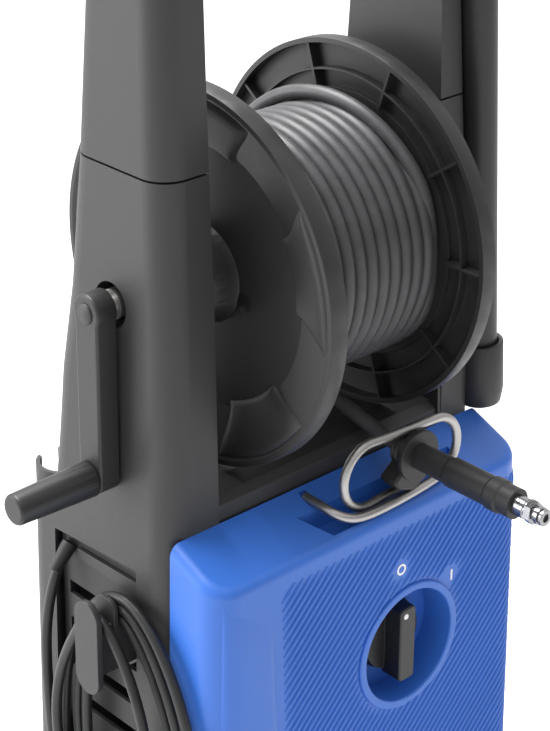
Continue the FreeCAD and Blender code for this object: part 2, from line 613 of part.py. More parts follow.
# ---------------------------------------------------------------- wheels
for side, name in ((-1, "left"), (1, "right")):
    centre = ("0", "wheel_y", "-wheel_drop")
    turned("%s_wheel_rim" % name, "XY", [
        (side * x, radius) for x, radius in (
            (111.0, "wheel_bore"), (111.0, 14.0), (126.0, 14.0), (126.0, 49.0), (115.0, 49.0), (115.0, 54.0),
            (145.0, 54.0), (145.0, 49.0), (131.0, 49.0), (131.0, 14.0), (146.0, 14.0), (146.0, "wheel_bore"))],
        "H", centre)
    turned("%s_tyre" % name, "XY", [
        (side * x, radius) for x, radius in (
            (113.0, 54.0), (113.0, "wheel_radius - 8"), (119.0, "wheel_radius"), (141.0, "wheel_radius"),
            (147.0, "wheel_radius - 8"), (147.0, 54.0))],
        "H", centre)
group("hub_caps", [turned("cap_%d" % (side + 2), "XY", [
    (side * x, radius) for x, radius in ((148.0, 0.0), (148.0, 12.0), (151.0, 12.0), (153.0, 8.0), (153.0, 0.0))],
    "H", ("0", "wheel_y", "-wheel_drop")) for side in (-1, 1)])
turned("wheel_axle", "XY", [(-148.0, 0.0), (148.0, 0.0), (148.0, "axle_rod"), (-148.0, "axle_rod")], "H",
       ("0", "wheel_y", "-wheel_drop"))

# ---------------------------------------------------------------- motor and pump, turned about the motor's axis
MOTOR = ("-20", "22", "0")
turned("motor_housing", "XZ", [(8.06, -400.0), (55.0, -400.0), (55.0, -258.0), (8.06, -258.0), (8.06, -262.0),
                               (51.0, -262.0), (51.0, -396.0), (8.06, -396.0)], "V", MOTOR)
turned("motor_stator", "XZ", [(41.0, -385.0), (51.0, -385.0), (51.0, -275.0), (41.0, -275.0)], "V", MOTOR)
turned("motor_rotor", "XZ", [(0.0, -452.0), (8.0, -452.0), (8.0, -380.0), (39.0, -380.0), (39.0, -280.0),
                             (8.0, -280.0), (8.0, -236.0), (0.0, -236.0)], "V", MOTOR)
fan = turned("cooling_fan", "XZ", [(8.0, -255.0), (46.0, -255.0), (46.0, -252.0), (15.0, -252.0), (15.0, -238.0),
                                   (8.0, -238.0)], "V", MOTOR)
BLADES = 9
blades = []
for index in range(BLADES):
    angle = 2 * math.pi * index / BLADES
    radial = Vector(math.cos(angle), math.sin(angle), 0)
    across = Vector(-math.sin(angle), math.cos(angle), 0)
    corners = [radial * 14.0 - across, radial * 45.0 - across, radial * 45.0 + across, radial * 14.0 + across]
    blades.append([(corner.x, corner.y) for corner in corners])
pad(fan, "XY", blades, -252.5, 12.5)
turned("pump_gearcase", "XZ", [(8.06, -404.0), (47.0, -404.0), (47.0, -458.0), (52.0, -458.0), (52.0, -400.0),
                               (8.06, -400.0)], "V", MOTOR)
turned("swash_plate", "XZ", [(8.0, -442.0), (34.0, -442.0), (34.0, -436.0), (16.0, -436.0), (16.0, -426.0),
                             (8.0, -426.0)], "V", MOTOR)
head = new_body("pump_head", MOTOR)
pad(head, "XY", [(0.0, 0.0, 46.0)], -496.0, 38.0)
PISTONS, PISTON_RADIUS, PISTON_RING = 3, 6.0, 22.0
piston_places = [(PISTON_RING * math.cos(2 * math.pi * index / PISTONS),
                  PISTON_RING * math.sin(2 * math.pi * index / PISTONS)) for index in range(PISTONS)]
pocket(head, "XY", [(u, v, PISTON_RADIUS + 0.05) for u, v in piston_places], -488.0, 40.0)
pistons = Part.makeCompound([Part.makeCylinder(PISTON_RADIUS, 38.0, Vector(u - 20.0, v + 22.0, -481.0))
                             for u, v in piston_places])
piston_item = doc.addObject("Part::Feature", "Shape_pump_pistons")
piston_item.Shape = pistons
seat(piston_item, "pump_pistons")
valve = turned("unloader_valve", "XY", [(18.0, 0.0), (18.0, 11.0), (58.0, 11.0), (58.0, 7.0), (66.0, 7.0), (66.0, 0.0)],
               "H", ("0", "0", "-478"))
feature_of("outlet_pipe", pipe("outlet_pipe", [(66.0, 0.0, -478.0), (96.0, 0.0, -478.0), (118.0, 0.0, -456.0),
                                               (118.0, 0.0, -400.0), (126.0, 0.0, -300.0), (126.0, 0.0, -16.0)], 5.0))
turned("water_inlet", "XY", [(6.0, 60.0), (10.0, 60.0), (10.0, 90.0), (13.9, 90.0), (13.9, "rear_line"),
                             (18.0, "rear_line"), (18.0, "rear_line + 3"), (10.0, "rear_line + 3"),
                             (10.0, "rear_line + 27"), (6.0, "rear_line + 27")], "V", ("60", "0", "-440"))
feature_of("inlet_hose", pipe("inlet_hose", [(60.0, 60.0, -440.0), (60.0, 44.0, -440.0), (52.0, 26.0, -456.0),
                                             (40.0, 22.0, -474.0), (24.0, 22.0, -478.0)], 7.0))

# ---------------------------------------------------------------- switch
module = block("switch_module", 8.0, 52.0, -76.0, -36.0, -302.0, -250.0, 3.0)
pocket(module, "XZ", [("well_x", "-well_drop", "shaft_bore")], 50.0, 30.0)
knob = turned("switch_knob", "XY", [(0.0, -52.0), ("shaft_radius", -52.0), ("shaft_radius", -80.0), (27.0, -80.0),
                                    (25.0, -88.0), (0.0, -88.0)], "V",
              ("well_x", "0", "-well_drop"))
pad(knob, "XZ", [box_points(-7.5, 7.5, -29.0, 29.0)], 86.0, 17.0)
round_edges(knob, 3.5, lambda middle, chord: along(chord, 1) and abs(middle.z) > 28 and middle.y < -88)
round_edges(knob, 1.5, lambda middle, chord: middle.y < -102.9)

# ---------------------------------------------------------------- cable hook, gland and mains lead
hook = new_body("cable_hook")
HOOK_Y, HOOK_LOW, HOOK_HIGH, HOOK_HALF = -10.0, -255.0, -210.0, 12.0
pad(hook, "YZ", [box_points(HOOK_Y - HOOK_HALF, HOOK_Y + HOOK_HALF, HOOK_LOW, HOOK_HIGH),], -178.0, 4.5)
for level in (HOOK_LOW, HOOK_HIGH):
    pad(hook, "YZ", [(HOOK_Y, level, HOOK_HALF)], -178.0, 4.5)
pad(hook, "YZ", [box_points(HOOK_Y - 9.0, HOOK_Y + 9.0, -252.0, -216.0)], -174.0, 31.0)
pad(hook, "YZ", [box_points(HOOK_Y - 12.0, HOOK_Y + 8.0, -226.0, -199.0)], -163.5, 3.5)
round_edges(hook, 7.0, lambda middle, chord: along(chord, 0) and middle.z > -200)
GLAND_DOWN = Vector(-0.62, 0.05, -0.78).normalize()
GLAND_TOP = Vector(-140.0, 50.0, -190.0)
gland_shape = Part.makeCone(9.0, 5.5, 24.0, GLAND_TOP, GLAND_DOWN)
gland_shape = gland_shape.cut(Part.makeCylinder(3.7, 60.0, GLAND_TOP - GLAND_DOWN * 20.0, GLAND_DOWN))
gland_shape = gland_shape.cut(slot_box((-141.1, 20.0, -230.0), (-120.0, 80.0, -160.0)))
gland_shape = gland_shape.cut(side_loft(TOWER, -1).cut(slot_box((-150.0, -24.9, -419.0), (-100.0, 61.9, -187.2))))
feature_of("cable_gland", gland_shape)
LEAD_START = GLAND_TOP + GLAND_DOWN * 7.5
LEAD_ROUTE = [tuple(LEAD_START), (-154.2, 51.1, -207.9), (-161.5, 53.5, -238.0), (-164.0, 55.0, -273.0),
              (-164.5, 49.0, -308.0)]
COIL_Y, COIL_Z, COIL_HALF_Y, COIL_HALF_Z = -22.0, -315.0, 77.0, 126.0
COIL_HOLE_Y, COIL_HOLE_Z = 37.0, 98.0
COIL_OUT, COIL_IN = -172.5, -153.5


def ellipse_face(half_y, half_z, x):
    """Elliptical face across X, its long axis upright."""
    curve = Part.Ellipse(Vector(x, COIL_Y, COIL_Z + half_z), Vector(x, COIL_Y + half_y, COIL_Z), Vector(x, COIL_Y, COIL_Z))
    return Part.Face(Part.Wire([curve.toShape()]))


coil_outer = ellipse_face(COIL_HALF_Y, COIL_HALF_Z, COIL_OUT).extrude(Vector(COIL_IN - COIL_OUT, 0, 0))
coil_inner = ellipse_face(COIL_HOLE_Y, COIL_HOLE_Z, COIL_OUT - 1.0).extrude(Vector(30.0, 0, 0))
tab_space = slot_box((-164.2, HOOK_Y - 13.0, -226.0), (-159.3, HOOK_Y + 9.0, -180.0))
stem_space = slot_box((-176.0, HOOK_Y - 9.5, -253.0), (-140.0, HOOK_Y + 9.5, -215.5))
feature_of("lead_coil", coil_outer.cut(coil_inner).cut(tab_space).cut(stem_space))
TAIL_ROUTE = [(-158.5, 38.0, -392.0), (-161.0, 30.0, -420.0), (-164.2, 22.0, -444.0), (-166.6, 15.5, -463.0),
              (-167.0, 13.0, -478.0)]
feature_of("mains_lead", Part.makeCompound([pipe("lead_top", LEAD_ROUTE, cell("lead_diameter") / 2),
                                            pipe("lead_tail", TAIL_ROUTE, cell("lead_diameter") / 2)]))
plug = turned("mains_plug", "XZ", [(0.0, -34.0), (13.0, -34.0), (14.0, -30.0), (14.0, -14.0), (6.5, -8.0), (5.0, 0.0),
                                   (0.0, 0.0)], "V", ("-167", "13", "-478"))
pad(plug, "XY", [(0.0, -9.5, 2.4), (0.0, 9.5, 2.4)], -52.0, 19.0)

# ---------------------------------------------------------------- hose end at the guide
HOSE_X, HOSE_Z = 36.0, -131.0
HOSE_ROUTE = [(17.0, 36.0, -91.5), (20.0, 14.0, -97.5), (24.0, -8.0, -103.5), (28.5, -32.0, -113.0),
              (33.5, -58.0, -125.0), (HOSE_X, -84.0, HOSE_Z)]
feature_of("hose_run", pipe("hose_run", HOSE_ROUTE, cell("hose_diameter") / 2))
HOSE_END = ("%g" % HOSE_X, "0", "%g" % HOSE_Z)
stopper = turned("hose_stopper", "XY", [
    (0.0, -84.0), (9.0, -84.0), (11.5, -86.0), (9.5, -88.0), (12.5, -90.0), (10.5, -92.0), (13.5, -94.0), (13.5, -97.5),
    (18.0, -98.5), (18.0, -103.0), (0.0, -103.0)], "V", HOSE_END)
turned("hose_grip", "XY", [(0.0, -103.0), (9.0, -103.0), (9.4, -130.0), (10.4, -132.0), (10.4, -166.0), (11.4, -168.0),
                           (11.4, -176.0), (10.4, -178.0), (10.4, -188.0), (0.0, -188.0)], "V", HOSE_END)
turned("hose_connector", "XY", [
    (2.0, -212.0), (4.2, -212.0), (4.6, -210.0), (4.6, -208.0), (3.6, -207.6), (3.6, -205.4), (4.6, -205.0),
    (4.6, -203.0), (6.4, -202.0), (6.4, -199.5), (8.2, -199.0), (8.2, -194.0), (6.0, -193.0), (6.0, -188.0),
    (2.0, -188.0)], "V", HOSE_END)

# ---------------------------------------------------------------- lance, gun and holders
LEAN = Rotation(Vector(0, 0, 1), LANCE_AXIS)
GUN_TURN = -45.0
LANCE_AT = ("%g" % LANCE_LOW.x, "%g" % LANCE_LOW.y, "%g" % LANCE_LOW.z)


def leaning(label, points):
    """Sub-part turned about the lance's own leaning axis; levels are measured from the cup's rim."""
    return turned(label, "XZ", points, "V", LANCE_AT, LEAN)


leaning("lance_holder", [(0.0, -51.0), (15.6, -51.0), ("lance_radius + 4.6", -40.0), ("lance_radius + 4.6", -3.0),
                         ("lance_radius + 1.2", -3.0), ("lance_radius + 1.2", -47.0), (0.0, -47.0)])
leaning("lance_tube", [(0.0, -46.5), (8.0, -46.5), (8.0, -26.0), (11.5, -24.0), ("lance_radius", -20.0), ("lance_radius", 322.0), (0.0, 322.0)])
gun = new_body("gun_body", LANCE_AT, LEAN.multiply(Rotation(Vector(0, 0, 1), GUN_TURN)))
pad(gun, "XY", [(0.0, 0.0, 15.0)], 322.0, 88.0)
pad(gun, "YZ", [[(0.0, 376.0), (0.0, 408.0), (90.0, 400.0), (94.0, 376.0)]], -10.0, 20.0)
round_edges(gun, 6.0, lambda middle, chord: middle.y > 40 and abs(chord.y) > 40)
pocket(gun, "YZ", [[(20.0, 370.0), (20.0, 382.0), (62.0, 382.0), (62.0, 370.0)]], -6.0, 12.0)
trigger = new_body("gun_trigger", LANCE_AT, LEAN.multiply(Rotation(Vector(0, 0, 1), GUN_TURN)))
pad(trigger, "YZ", [[(24.0, 352.0), (24.0, 379.0), (31.0, 379.0), (33.0, 366.0), (64.0, 358.0), (66.0, 351.0),
                     (34.0, 348.0)]], -5.0, 10.0)
nozzle_ring = Part.makeCylinder(19.0, 52.0, Vector(-126.2, 78.0, -200.0))
nozzle_bore = Part.makeCylinder(16.0, 60.0, Vector(-126.2, 78.0, -190.0))
slot = slot_box((-134.0, 85.0, -186.0), (-118.0, 110.0, -140.0))
left_skin = side_loft(TOWER, -1)
feature_of("nozzle_holder", nozzle_ring.cut(nozzle_bore).cut(slot).cut(left_skin))

# ---------------------------------------------------------------- screws
screws = []
for x, z in ((-60.0, -300.0), (60.0, -190.0), (-90.0, -480.0), (90.0, -480.0)):
    screws.append(Part.makeCylinder(4.0, 3.0, Vector(x, 95.0, z), Vector(0, 1, 0)))
screw_item = doc.addObject("Part::Feature", "Shape_casing_screws")
screw_item.Shape = Part.makeCompound(screws)
seat(screw_item, "casing_screws")

# ---------------------------------------------------------------- checks and export
doc.recompute()
for item in doc.Objects:
    if "Invalid" in item.State or "Error" in item.State:
        raise RuntimeError("%s (%s) failed to recompute" % (item.Name, item.Label))
for item in subparts:
    if item.Shape.isNull() or not item.Shape.isValid():
        raise RuntimeError("%s has no valid shape" % item.Label)
    item.Shape.exportStep("parts/%s.step" % item.Label)
print("%d sub-parts" % len(subparts))
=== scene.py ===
import json
import math

import bmesh
import bpy
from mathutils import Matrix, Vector


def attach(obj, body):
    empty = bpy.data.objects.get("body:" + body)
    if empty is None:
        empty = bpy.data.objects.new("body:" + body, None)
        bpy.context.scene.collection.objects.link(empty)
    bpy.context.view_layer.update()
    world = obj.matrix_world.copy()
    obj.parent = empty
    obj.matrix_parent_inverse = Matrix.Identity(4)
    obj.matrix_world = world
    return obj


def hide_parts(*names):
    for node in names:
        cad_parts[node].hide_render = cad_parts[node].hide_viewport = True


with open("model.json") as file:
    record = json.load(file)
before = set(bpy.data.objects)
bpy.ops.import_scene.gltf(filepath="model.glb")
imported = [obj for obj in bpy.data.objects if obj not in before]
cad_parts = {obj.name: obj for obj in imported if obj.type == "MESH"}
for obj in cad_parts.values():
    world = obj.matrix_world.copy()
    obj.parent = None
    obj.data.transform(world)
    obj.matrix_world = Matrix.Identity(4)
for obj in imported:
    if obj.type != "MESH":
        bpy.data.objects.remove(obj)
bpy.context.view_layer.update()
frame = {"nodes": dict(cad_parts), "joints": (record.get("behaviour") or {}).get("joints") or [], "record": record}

MM = 0.001
JOINTS = {joint["name"]: joint for joint in frame["joints"]}
# Every place below is in millimetres from the middle of the reel, as in the part's own drawing.
CENTRE = Vector(JOINTS["reel_spin"]["pos_m"])


def at(x, y, z):
    """Point in the frame, in metres, from millimetres about the middle of the reel."""
    return CENTRE + Vector((x, y, z)) * MM


# ------------------------------------------------------------------ materials
def new_material(name, colour, roughness, metallic=0.0):
    material = bpy.data.materials.new(name)
    material.use_nodes = True
    nodes = material.node_tree.nodes
    shader = nodes["Principled BSDF"]
    shader.inputs["Base Color"].default_value = (*colour, 1.0)
    shader.inputs["Roughness"].default_value = roughness
    shader.inputs["Metallic"].default_value = metallic
    return material, nodes, material.node_tree.links, shader


def coordinates(nodes, links, stretch=(1.0, 1.0, 1.0)):
    """Object coordinates, in metres, stretched along the axes."""
    source = nodes.new("ShaderNodeTexCoord")
    mapping = nodes.new("ShaderNodeMapping")
    mapping.inputs["Scale"].default_value = stretch
    links.new(source.outputs["Object"], mapping.inputs["Vector"])
    return mapping.outputs["Vector"]


def noise(nodes, links, vector, scale, detail=2.0, roughness=0.5):
    texture = nodes.new("ShaderNodeTexNoise")
    texture.inputs["Scale"].default_value = scale
    texture.inputs["Detail"].default_value = detail
    texture.inputs["Roughness"].default_value = roughness
    links.new(vector, texture.inputs["Vector"])
    return texture.outputs["Fac"]


def remap(nodes, links, value, low, high):
    """Value from 0 to 1 brought to low to high."""
    node = nodes.new("ShaderNodeMapRange")
    node.inputs["From Min"].default_value = 0.25
    node.inputs["From Max"].default_value = 0.75
    node.inputs["To Min"].default_value = low
    node.inputs["To Max"].default_value = high
    links.new(value, node.inputs["Value"])
    return node.outputs["Result"]


def bump(nodes, links, shader, height, strength, distance):
    node = nodes.new("ShaderNodeBump")
    node.inputs["Strength"].default_value = strength
    node.inputs["Distance"].default_value = distance
    links.new(height, node.inputs["Height"])
    links.new(node.outputs["Normal"], shader.inputs["Normal"])


def vary_colour(nodes, links, shader, value, low, high):
    """Base colour moving between two colours with a value."""
    ramp = nodes.new("ShaderNodeValToRGB")
    ramp.color_ramp.elements[0].position = 0.3
    ramp.color_ramp.elements[0].color = (*low, 1.0)
    ramp.color_ramp.elements[1].position = 0.7
    ramp.color_ramp.elements[1].color = (*high, 1.0)
    links.new(value, ramp.inputs["Fac"])
    links.new(ramp.outputs["Color"], shader.inputs["Base Color"])


def scaled(colour, factor):
    return tuple(channel * factor for channel in colour)


def plastic(name, colour, roughness, grain=2600.0, depth=0.00006, strength=0.35, spread=0.05):
    """Moulded plastic: fine spark-eroded grain, faint flow marks in colour and gloss."""
    material, nodes, links, shader = new_material(name, colour, roughness)
    place = coordinates(nodes, links)
    flow = noise(nodes, links, place, 9.0, 3.0, 0.6)
    vary_colour(nodes, links, shader, flow, scaled(colour, 1.0 - spread), scaled(colour, 1.0 + spread))
    speckle = noise(nodes, links, place, 420.0, 3.0, 0.7)
    links.new(remap(nodes, links, speckle, roughness - 0.04, roughness + 0.05), shader.inputs["Roughness"])
    bump(nodes, links, shader, noise(nodes, links, place, grain, 2.0, 0.6), strength, depth)
    shader.inputs["Specular IOR Level"].default_value = 0.45
    return material


def rubber(name, colour, roughness, grain=1500.0, depth=0.00005):
    """Rubber or cable sheath: soft gloss, fine skin and faint dust."""
    material, nodes, links, shader = new_material(name, colour, roughness)
    place = coordinates(nodes, links)
    dust = noise(nodes, links, place, 60.0, 4.0, 0.7)
    vary_colour(nodes, links, shader, dust, scaled(colour, 0.85), scaled(colour, 1.25))
    links.new(remap(nodes, links, dust, roughness - 0.06, roughness + 0.06), shader.inputs["Roughness"])
    bump(nodes, links, shader, noise(nodes, links, place, grain, 2.0, 0.5), 0.25, depth)
    shader.inputs["Specular IOR Level"].default_value = 0.4
    return material


def metal(name, colour, roughness, stretch, depth=0.00002):
    """Metal with fine drawn or turned lines along one direction."""
    material, nodes, links, shader = new_material(name, colour, roughness, 1.0)
    place = coordinates(nodes, links, stretch)
    lines = noise(nodes, links, place, 900.0, 3.0, 0.6)
    vary_colour(nodes, links, shader, lines, scaled(colour, 0.9), scaled(colour, 1.06))
    links.new(remap(nodes, links, lines, roughness - 0.05, roughness + 0.07), shader.inputs["Roughness"])
    bump(nodes, links, shader, lines, 0.2, depth)
    return material


MATERIALS = {
    "casing_plastic": plastic("casing_plastic", (0.026, 0.025, 0.026), 0.5),
    "dark_plastic": plastic("dark_plastic", (0.018, 0.0175, 0.018), 0.45),
    "cover_plastic": plastic("cover_plastic", (0.030, 0.130, 0.510), 0.42, 2200.0, 0.00004, 0.25, 0.03),
    "soft_rubber": rubber("soft_rubber", (0.015, 0.015, 0.016), 0.5),
    "hose_rubber": rubber("hose_rubber", (0.055, 0.053, 0.056), 0.42),
    "lead_rubber": rubber("lead_rubber", (0.014, 0.014, 0.0145), 0.4),
    "black_plastic": plastic("black_plastic", (0.012, 0.012, 0.013), 0.42),
    "steel": metal("steel", (0.42, 0.41, 0.40), 0.42, (1.0, 0.15, 1.0)),
    "chrome": metal("chrome", (0.30, 0.30, 0.31), 0.22, (0.1, 1.0, 1.0), 0.000005),
    "aluminium": metal("aluminium", (0.66, 0.67, 0.69), 0.34, (1.0, 1.0, 0.05)),
    "brass": metal("brass", (0.70, 0.52, 0.25), 0.3, (0.1, 1.0, 1.0)),
}
MARK_WHITE = plastic("mark_white", (0.80, 0.80, 0.80), 0.5, 900.0, 0.00002, 0.2, 0.02)

SLOT_OF = {part["node"]: part["material_slot"] for part in frame["record"]["subparts"]}


# ------------------------------------------------------------------ mesh helpers
def finish_piece(piece, slot, body, material=None, smooth_angle=35.0):
    """Material, smooth shading, slot and body of a new piece."""
    piece.data.materials.clear()
    piece.data.materials.append(material or MATERIALS[slot])
    if piece.type == "MESH":
        for polygon in piece.data.polygons:
            polygon.use_smooth = True
        piece.data.set_sharp_from_angle(angle=math.radians(smooth_angle))
    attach(piece, body)
    return piece


def mesh_piece(name, points, faces):
    data = bpy.data.meshes.new(name)
    data.from_pydata([tuple(point) for point in points], [], faces)
    data.update()
    piece = bpy.data.objects.new(name, data)
    bpy.context.scene.collection.objects.link(piece)
    work = bmesh.new()
    work.from_mesh(data)
    bmesh.ops.recalc_face_normals(work, faces=work.faces)
    work.to_mesh(data)
    work.free()
    return piece


def soften_cad(node, width):
    """Small rounded edges on a carried-over CAD node, whose own mesh stays as it is."""
    weld = node.modifiers.new("weld", "WELD")
    weld.merge_threshold = 0.00001
    flat = node.modifiers.new("flat", "DECIMATE")
    flat.decimate_type = "DISSOLVE"
    flat.angle_limit = math.radians(0.6)
    edge = node.modifiers.new("edge", "BEVEL")
    edge.width = width
    edge.segments = 2
    edge.limit_method = "ANGLE"
    edge.angle_limit = math.radians(32.0)
    edge.harden_normals = True
    edge.use_clamp_overlap = True


def turned_piece(name, start, way, profile, slot, body, hexagon=()):
    """Solid turned about a line; profile rows are distance and radius, rows in hexagon are cut to six flats."""
    way = Vector(way).normalized()
    side = way.orthogonal().normalized()
    other = way.cross(side)
    points, faces, count, rows = [], [], 48, len(profile)
    corner = math.cos(math.radians(30.0))
    for index in range(count):
        angle = 2 * math.pi * index / count
        flat = math.cos(math.radians((math.degrees(angle) + 30.0) % 60.0 - 30.0))
        for row, (along, radius) in enumerate(profile):
            reach = radius * corner / flat if row in hexagon else radius
            spot = Vector(start) + way * along + (side * math.cos(angle) + other * math.sin(angle)) * reach
            points.append(at(*spot))
        follower = (index + 1) % count
        for row in range(rows - 1):
            here, there = index * rows + row, follower * rows + row
            faces.append((here, here + 1, there + 1, there))
    faces.append(tuple(index * rows for index in range(count)))
    faces.append(tuple(index * rows + rows - 1 for index in range(count)))
    return finish_piece(mesh_piece(name, points, faces), slot, body, None, 32.0)


# A curve's box is drawn out by its points' radii, so these are small and the bevel is deeper instead.
POINT_RADIUS = 0.002


def spline_curve(name, points, radius, resolution=6):
    """Round tube on one open NURBS spline through the route's points."""
    curve = bpy.data.curves.new(name, "CURVE")
    curve.dimensions = "3D"
    curve.bevel_depth = radius / POINT_RADIUS
    curve.bevel_resolution = 6
    curve.use_fill_caps = True
    curve.resolution_u = resolution
    spline = curve.splines.new("NURBS")
    spline.points.add(len(points) - 1)
    for index, point in enumerate(points):
        spline.points[index].co = (*point, 1.0)
        spline.points[index].radius = POINT_RADIUS
    spline.order_u = 3
    spline.use_endpoint_u = True
    piece = bpy.data.objects.new(name, curve)
    bpy.context.scene.collection.objects.link(piece)
    return piece


# ------------------------------------------------------------------ camera
YAW, PITCH = 0.7324, 0.3702
CAMERA_PLACE = Vector((-855.8, -915.3, 528.9))


def make_camera():
    data = bpy.data.cameras.new("camera")
    data.sensor_width = 36.0
    data.lens = 99.88
    data.shift_x = 0.0463
    data.shift_y = -0.2455
    camera = bpy.data.objects.new("camera", data)
    bpy.context.scene.collection.objects.link(camera)
    look = Vector((math.sin(YAW) * math.cos(PITCH), math.cos(YAW) * math.cos(PITCH), -math.sin(PITCH)))
    camera.location = at(*CAMERA_PLACE)
    camera.rotation_euler = look.to_track_quat("-Z", "Y").to_euler()
    bpy.context.scene.camera = camera


make_camera()


# ------------------------------------------------------------------ hose on the reel
HOSE_RADIUS, LEAD_RADIUS = 5.2, 3.65
HOSE_ROUTE = [(17.0, 36.0, -91.5), (20.0, 14.0, -97.5), (24.0, -8.0, -103.5), (28.5, -32.0, -113.0),
              (33.5, -58.0, -125.0), (36.0, -84.0, -131.0)]
# The wound hose: distance between turns, spline points in a turn, radii of its line, and where layers end in x.
HOSE_PITCH, TURN_STEPS = 10.4, 16
INNER_LAYER, OUTER_LAYER, OUTER_END = 75.5, 85.8, 96.6
INNER_TURNS, OUTER_TURNS = 7, 12
WOUND_LEFT, WOUND_RIGHT, LAST_X, LAST_STEPS = -55.4, 10.0, 17.0, 11
# A spline through points on a circle runs inside it, so the points stand further out.
SPLINE_GROWTH = 1.0 / 0.981


def reel_point(x, radius, angle):
    return x, radius * SPLINE_GROWTH * math.cos(angle), radius * SPLINE_GROWTH * math.sin(angle)


def winding_points():
    """Two layers of turns on the drum and a last half turn that comes down to the hose's way out."""
    points = []
    for step in range(INNER_TURNS * TURN_STEPS):
        turn = step / TURN_STEPS
        x = WOUND_LEFT + (INNER_TURNS - turn) * (WOUND_RIGHT - WOUND_LEFT) / INNER_TURNS
        points.append(reel_point(x, INNER_LAYER, -2 * math.pi * turn))
    for step in range(int((OUTER_TURNS - 0.5) * TURN_STEPS)):
        turn = step / TURN_STEPS
        rise = min(1.0, (step + 2) / 5.0)
        radius = INNER_LAYER + (OUTER_LAYER - INNER_LAYER) * rise
        points.append(reel_point(WOUND_LEFT + turn * HOSE_PITCH, radius, -2 * math.pi * turn))
    end_x = points[-1][0]
    for step in range(1, LAST_STEPS + 1):
        share = step / 12.0
        radius = OUTER_LAYER + (OUTER_END - OUTER_LAYER) * min(1.0, share * 2.5)
        x = end_x + (LAST_X - end_x) * share
        points.append(reel_point(x, radius, -math.pi - 2 * math.pi * step / TURN_STEPS))
    return points


def make_hose():
    winding = spline_curve("hose_turns", [at(*point) for point in winding_points()], HOSE_RADIUS * MM, 4)
    finish_piece(winding, "hose_rubber", "reel")
    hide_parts("hose_winding")
    run = spline_curve("hose_end_run", [at(*point) for point in HOSE_ROUTE], HOSE_RADIUS * MM)
    finish_piece(run, "hose_rubber", "machine")
    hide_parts("hose_run")
    return winding, run


winding, run = make_hose()

# ------------------------------------------------------------------ mains lead
LEAD_ROUTE = [(-144.66, 50.38, -195.86), (-154.2, 51.1, -207.9), (-161.5, 53.5, -238.0), (-164.0, 55.0, -273.0)]
TAIL_ROUTE = [(-156.5, 46.5, -358.0), (-158.5, 38.0, -392.0), (-161.0, 30.0, -420.0), (-164.2, 22.0, -444.0),
              (-166.6, 15.5, -463.0), (-167.0, 13.0, -478.0)]
# Where the lead runs in x: as it comes down, outside the hook's tab, and behind the tab.
LANE_START, LANE_OUTER, LANE_INNER = -164.5, -168.4, -155.6
COIL_Y, COIL_Z = -22.0, -313.75
LEAD_TURNS, LEAD_STEPS = 4, 18
# Half widths at the back and front of each half turn, then half heights at its low and high ends.
LEAD_WIDTHS = [77.0, 40.0, 62.0, 50.0, 44.0, 60.0, 54.0, 71.0, 68.0]
LEAD_HEIGHTS = [118.0, 101.6, 96.0, 101.6, 103.5, 108.9, 111.0, 116.2, 112.0]


def smooth_step(value):
    share = min(1.0, max(0.0, value))
    return share * share * (3.0 - 2.0 * share)


def keyed(values, place):
    """Value at a place in a list, moving smoothly from one entry to the next."""
    first = min(max(int(place), 0), len(values) - 2)
    return values[first] + (values[first + 1] - values[first]) * smooth_step(place - first)


def lead_points():
    """Lead down from its gland, one turn outside the hook's tab, then three behind it, fanned to the front."""
    points = list(LEAD_ROUTE)
    for step in range(1, LEAD_TURNS * LEAD_STEPS + 1):
        turns = step / LEAD_STEPS
        angle = math.radians(90.0) + 2 * math.pi * turns
        inner = smooth_step(2.0 * (turns - 1.0))
        top = max(0.0, math.cos(angle)) ** 2
        half_y = keyed(LEAD_WIDTHS, 2.0 * turns) * (1.0 - (0.35 - 0.2 * inner) * top)
        half_z = keyed(LEAD_HEIGHTS, 2.0 * turns - 0.5)
        lean = (12.0 - 4.5 * (turns - 0.75)) * top
        x = LANE_START + (LANE_OUTER - LANE_START) * smooth_step(turns / 0.3) + (LANE_INNER - LANE_OUTER) * inner
        points.append((x, COIL_Y + lean + half_y * math.sin(angle), COIL_Z + half_z * math.cos(angle)))
    return points + TAIL_ROUTE


lead = spline_curve("mains_lead_run", [at(*point) for point in lead_points()], LEAD_RADIUS * MM, 5)
finish_piece(lead, "lead_rubber", "machine")
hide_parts("lead_coil", "mains_lead")

BOOT_TOP, BOOT_DOWN = (-143.2, 50.3, -194.0), (-0.62, 0.05, -0.78)
BOOT_PROFILE = [(0.0, 5.6), (4.0, 5.6), (19.0, 4.5), (21.0, 4.4), (21.6, 3.8)]
boot = turned_piece("lead_boot", BOOT_TOP, BOOT_DOWN, BOOT_PROFILE, "soft_rubber", "machine")
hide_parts("cable_gland")

# ------------------------------------------------------------------ steel hose guide
WIRE = 3.25
# How far the spline's points at a round end stand outside the arc they draw.
ARC_GROWTH = 1.02


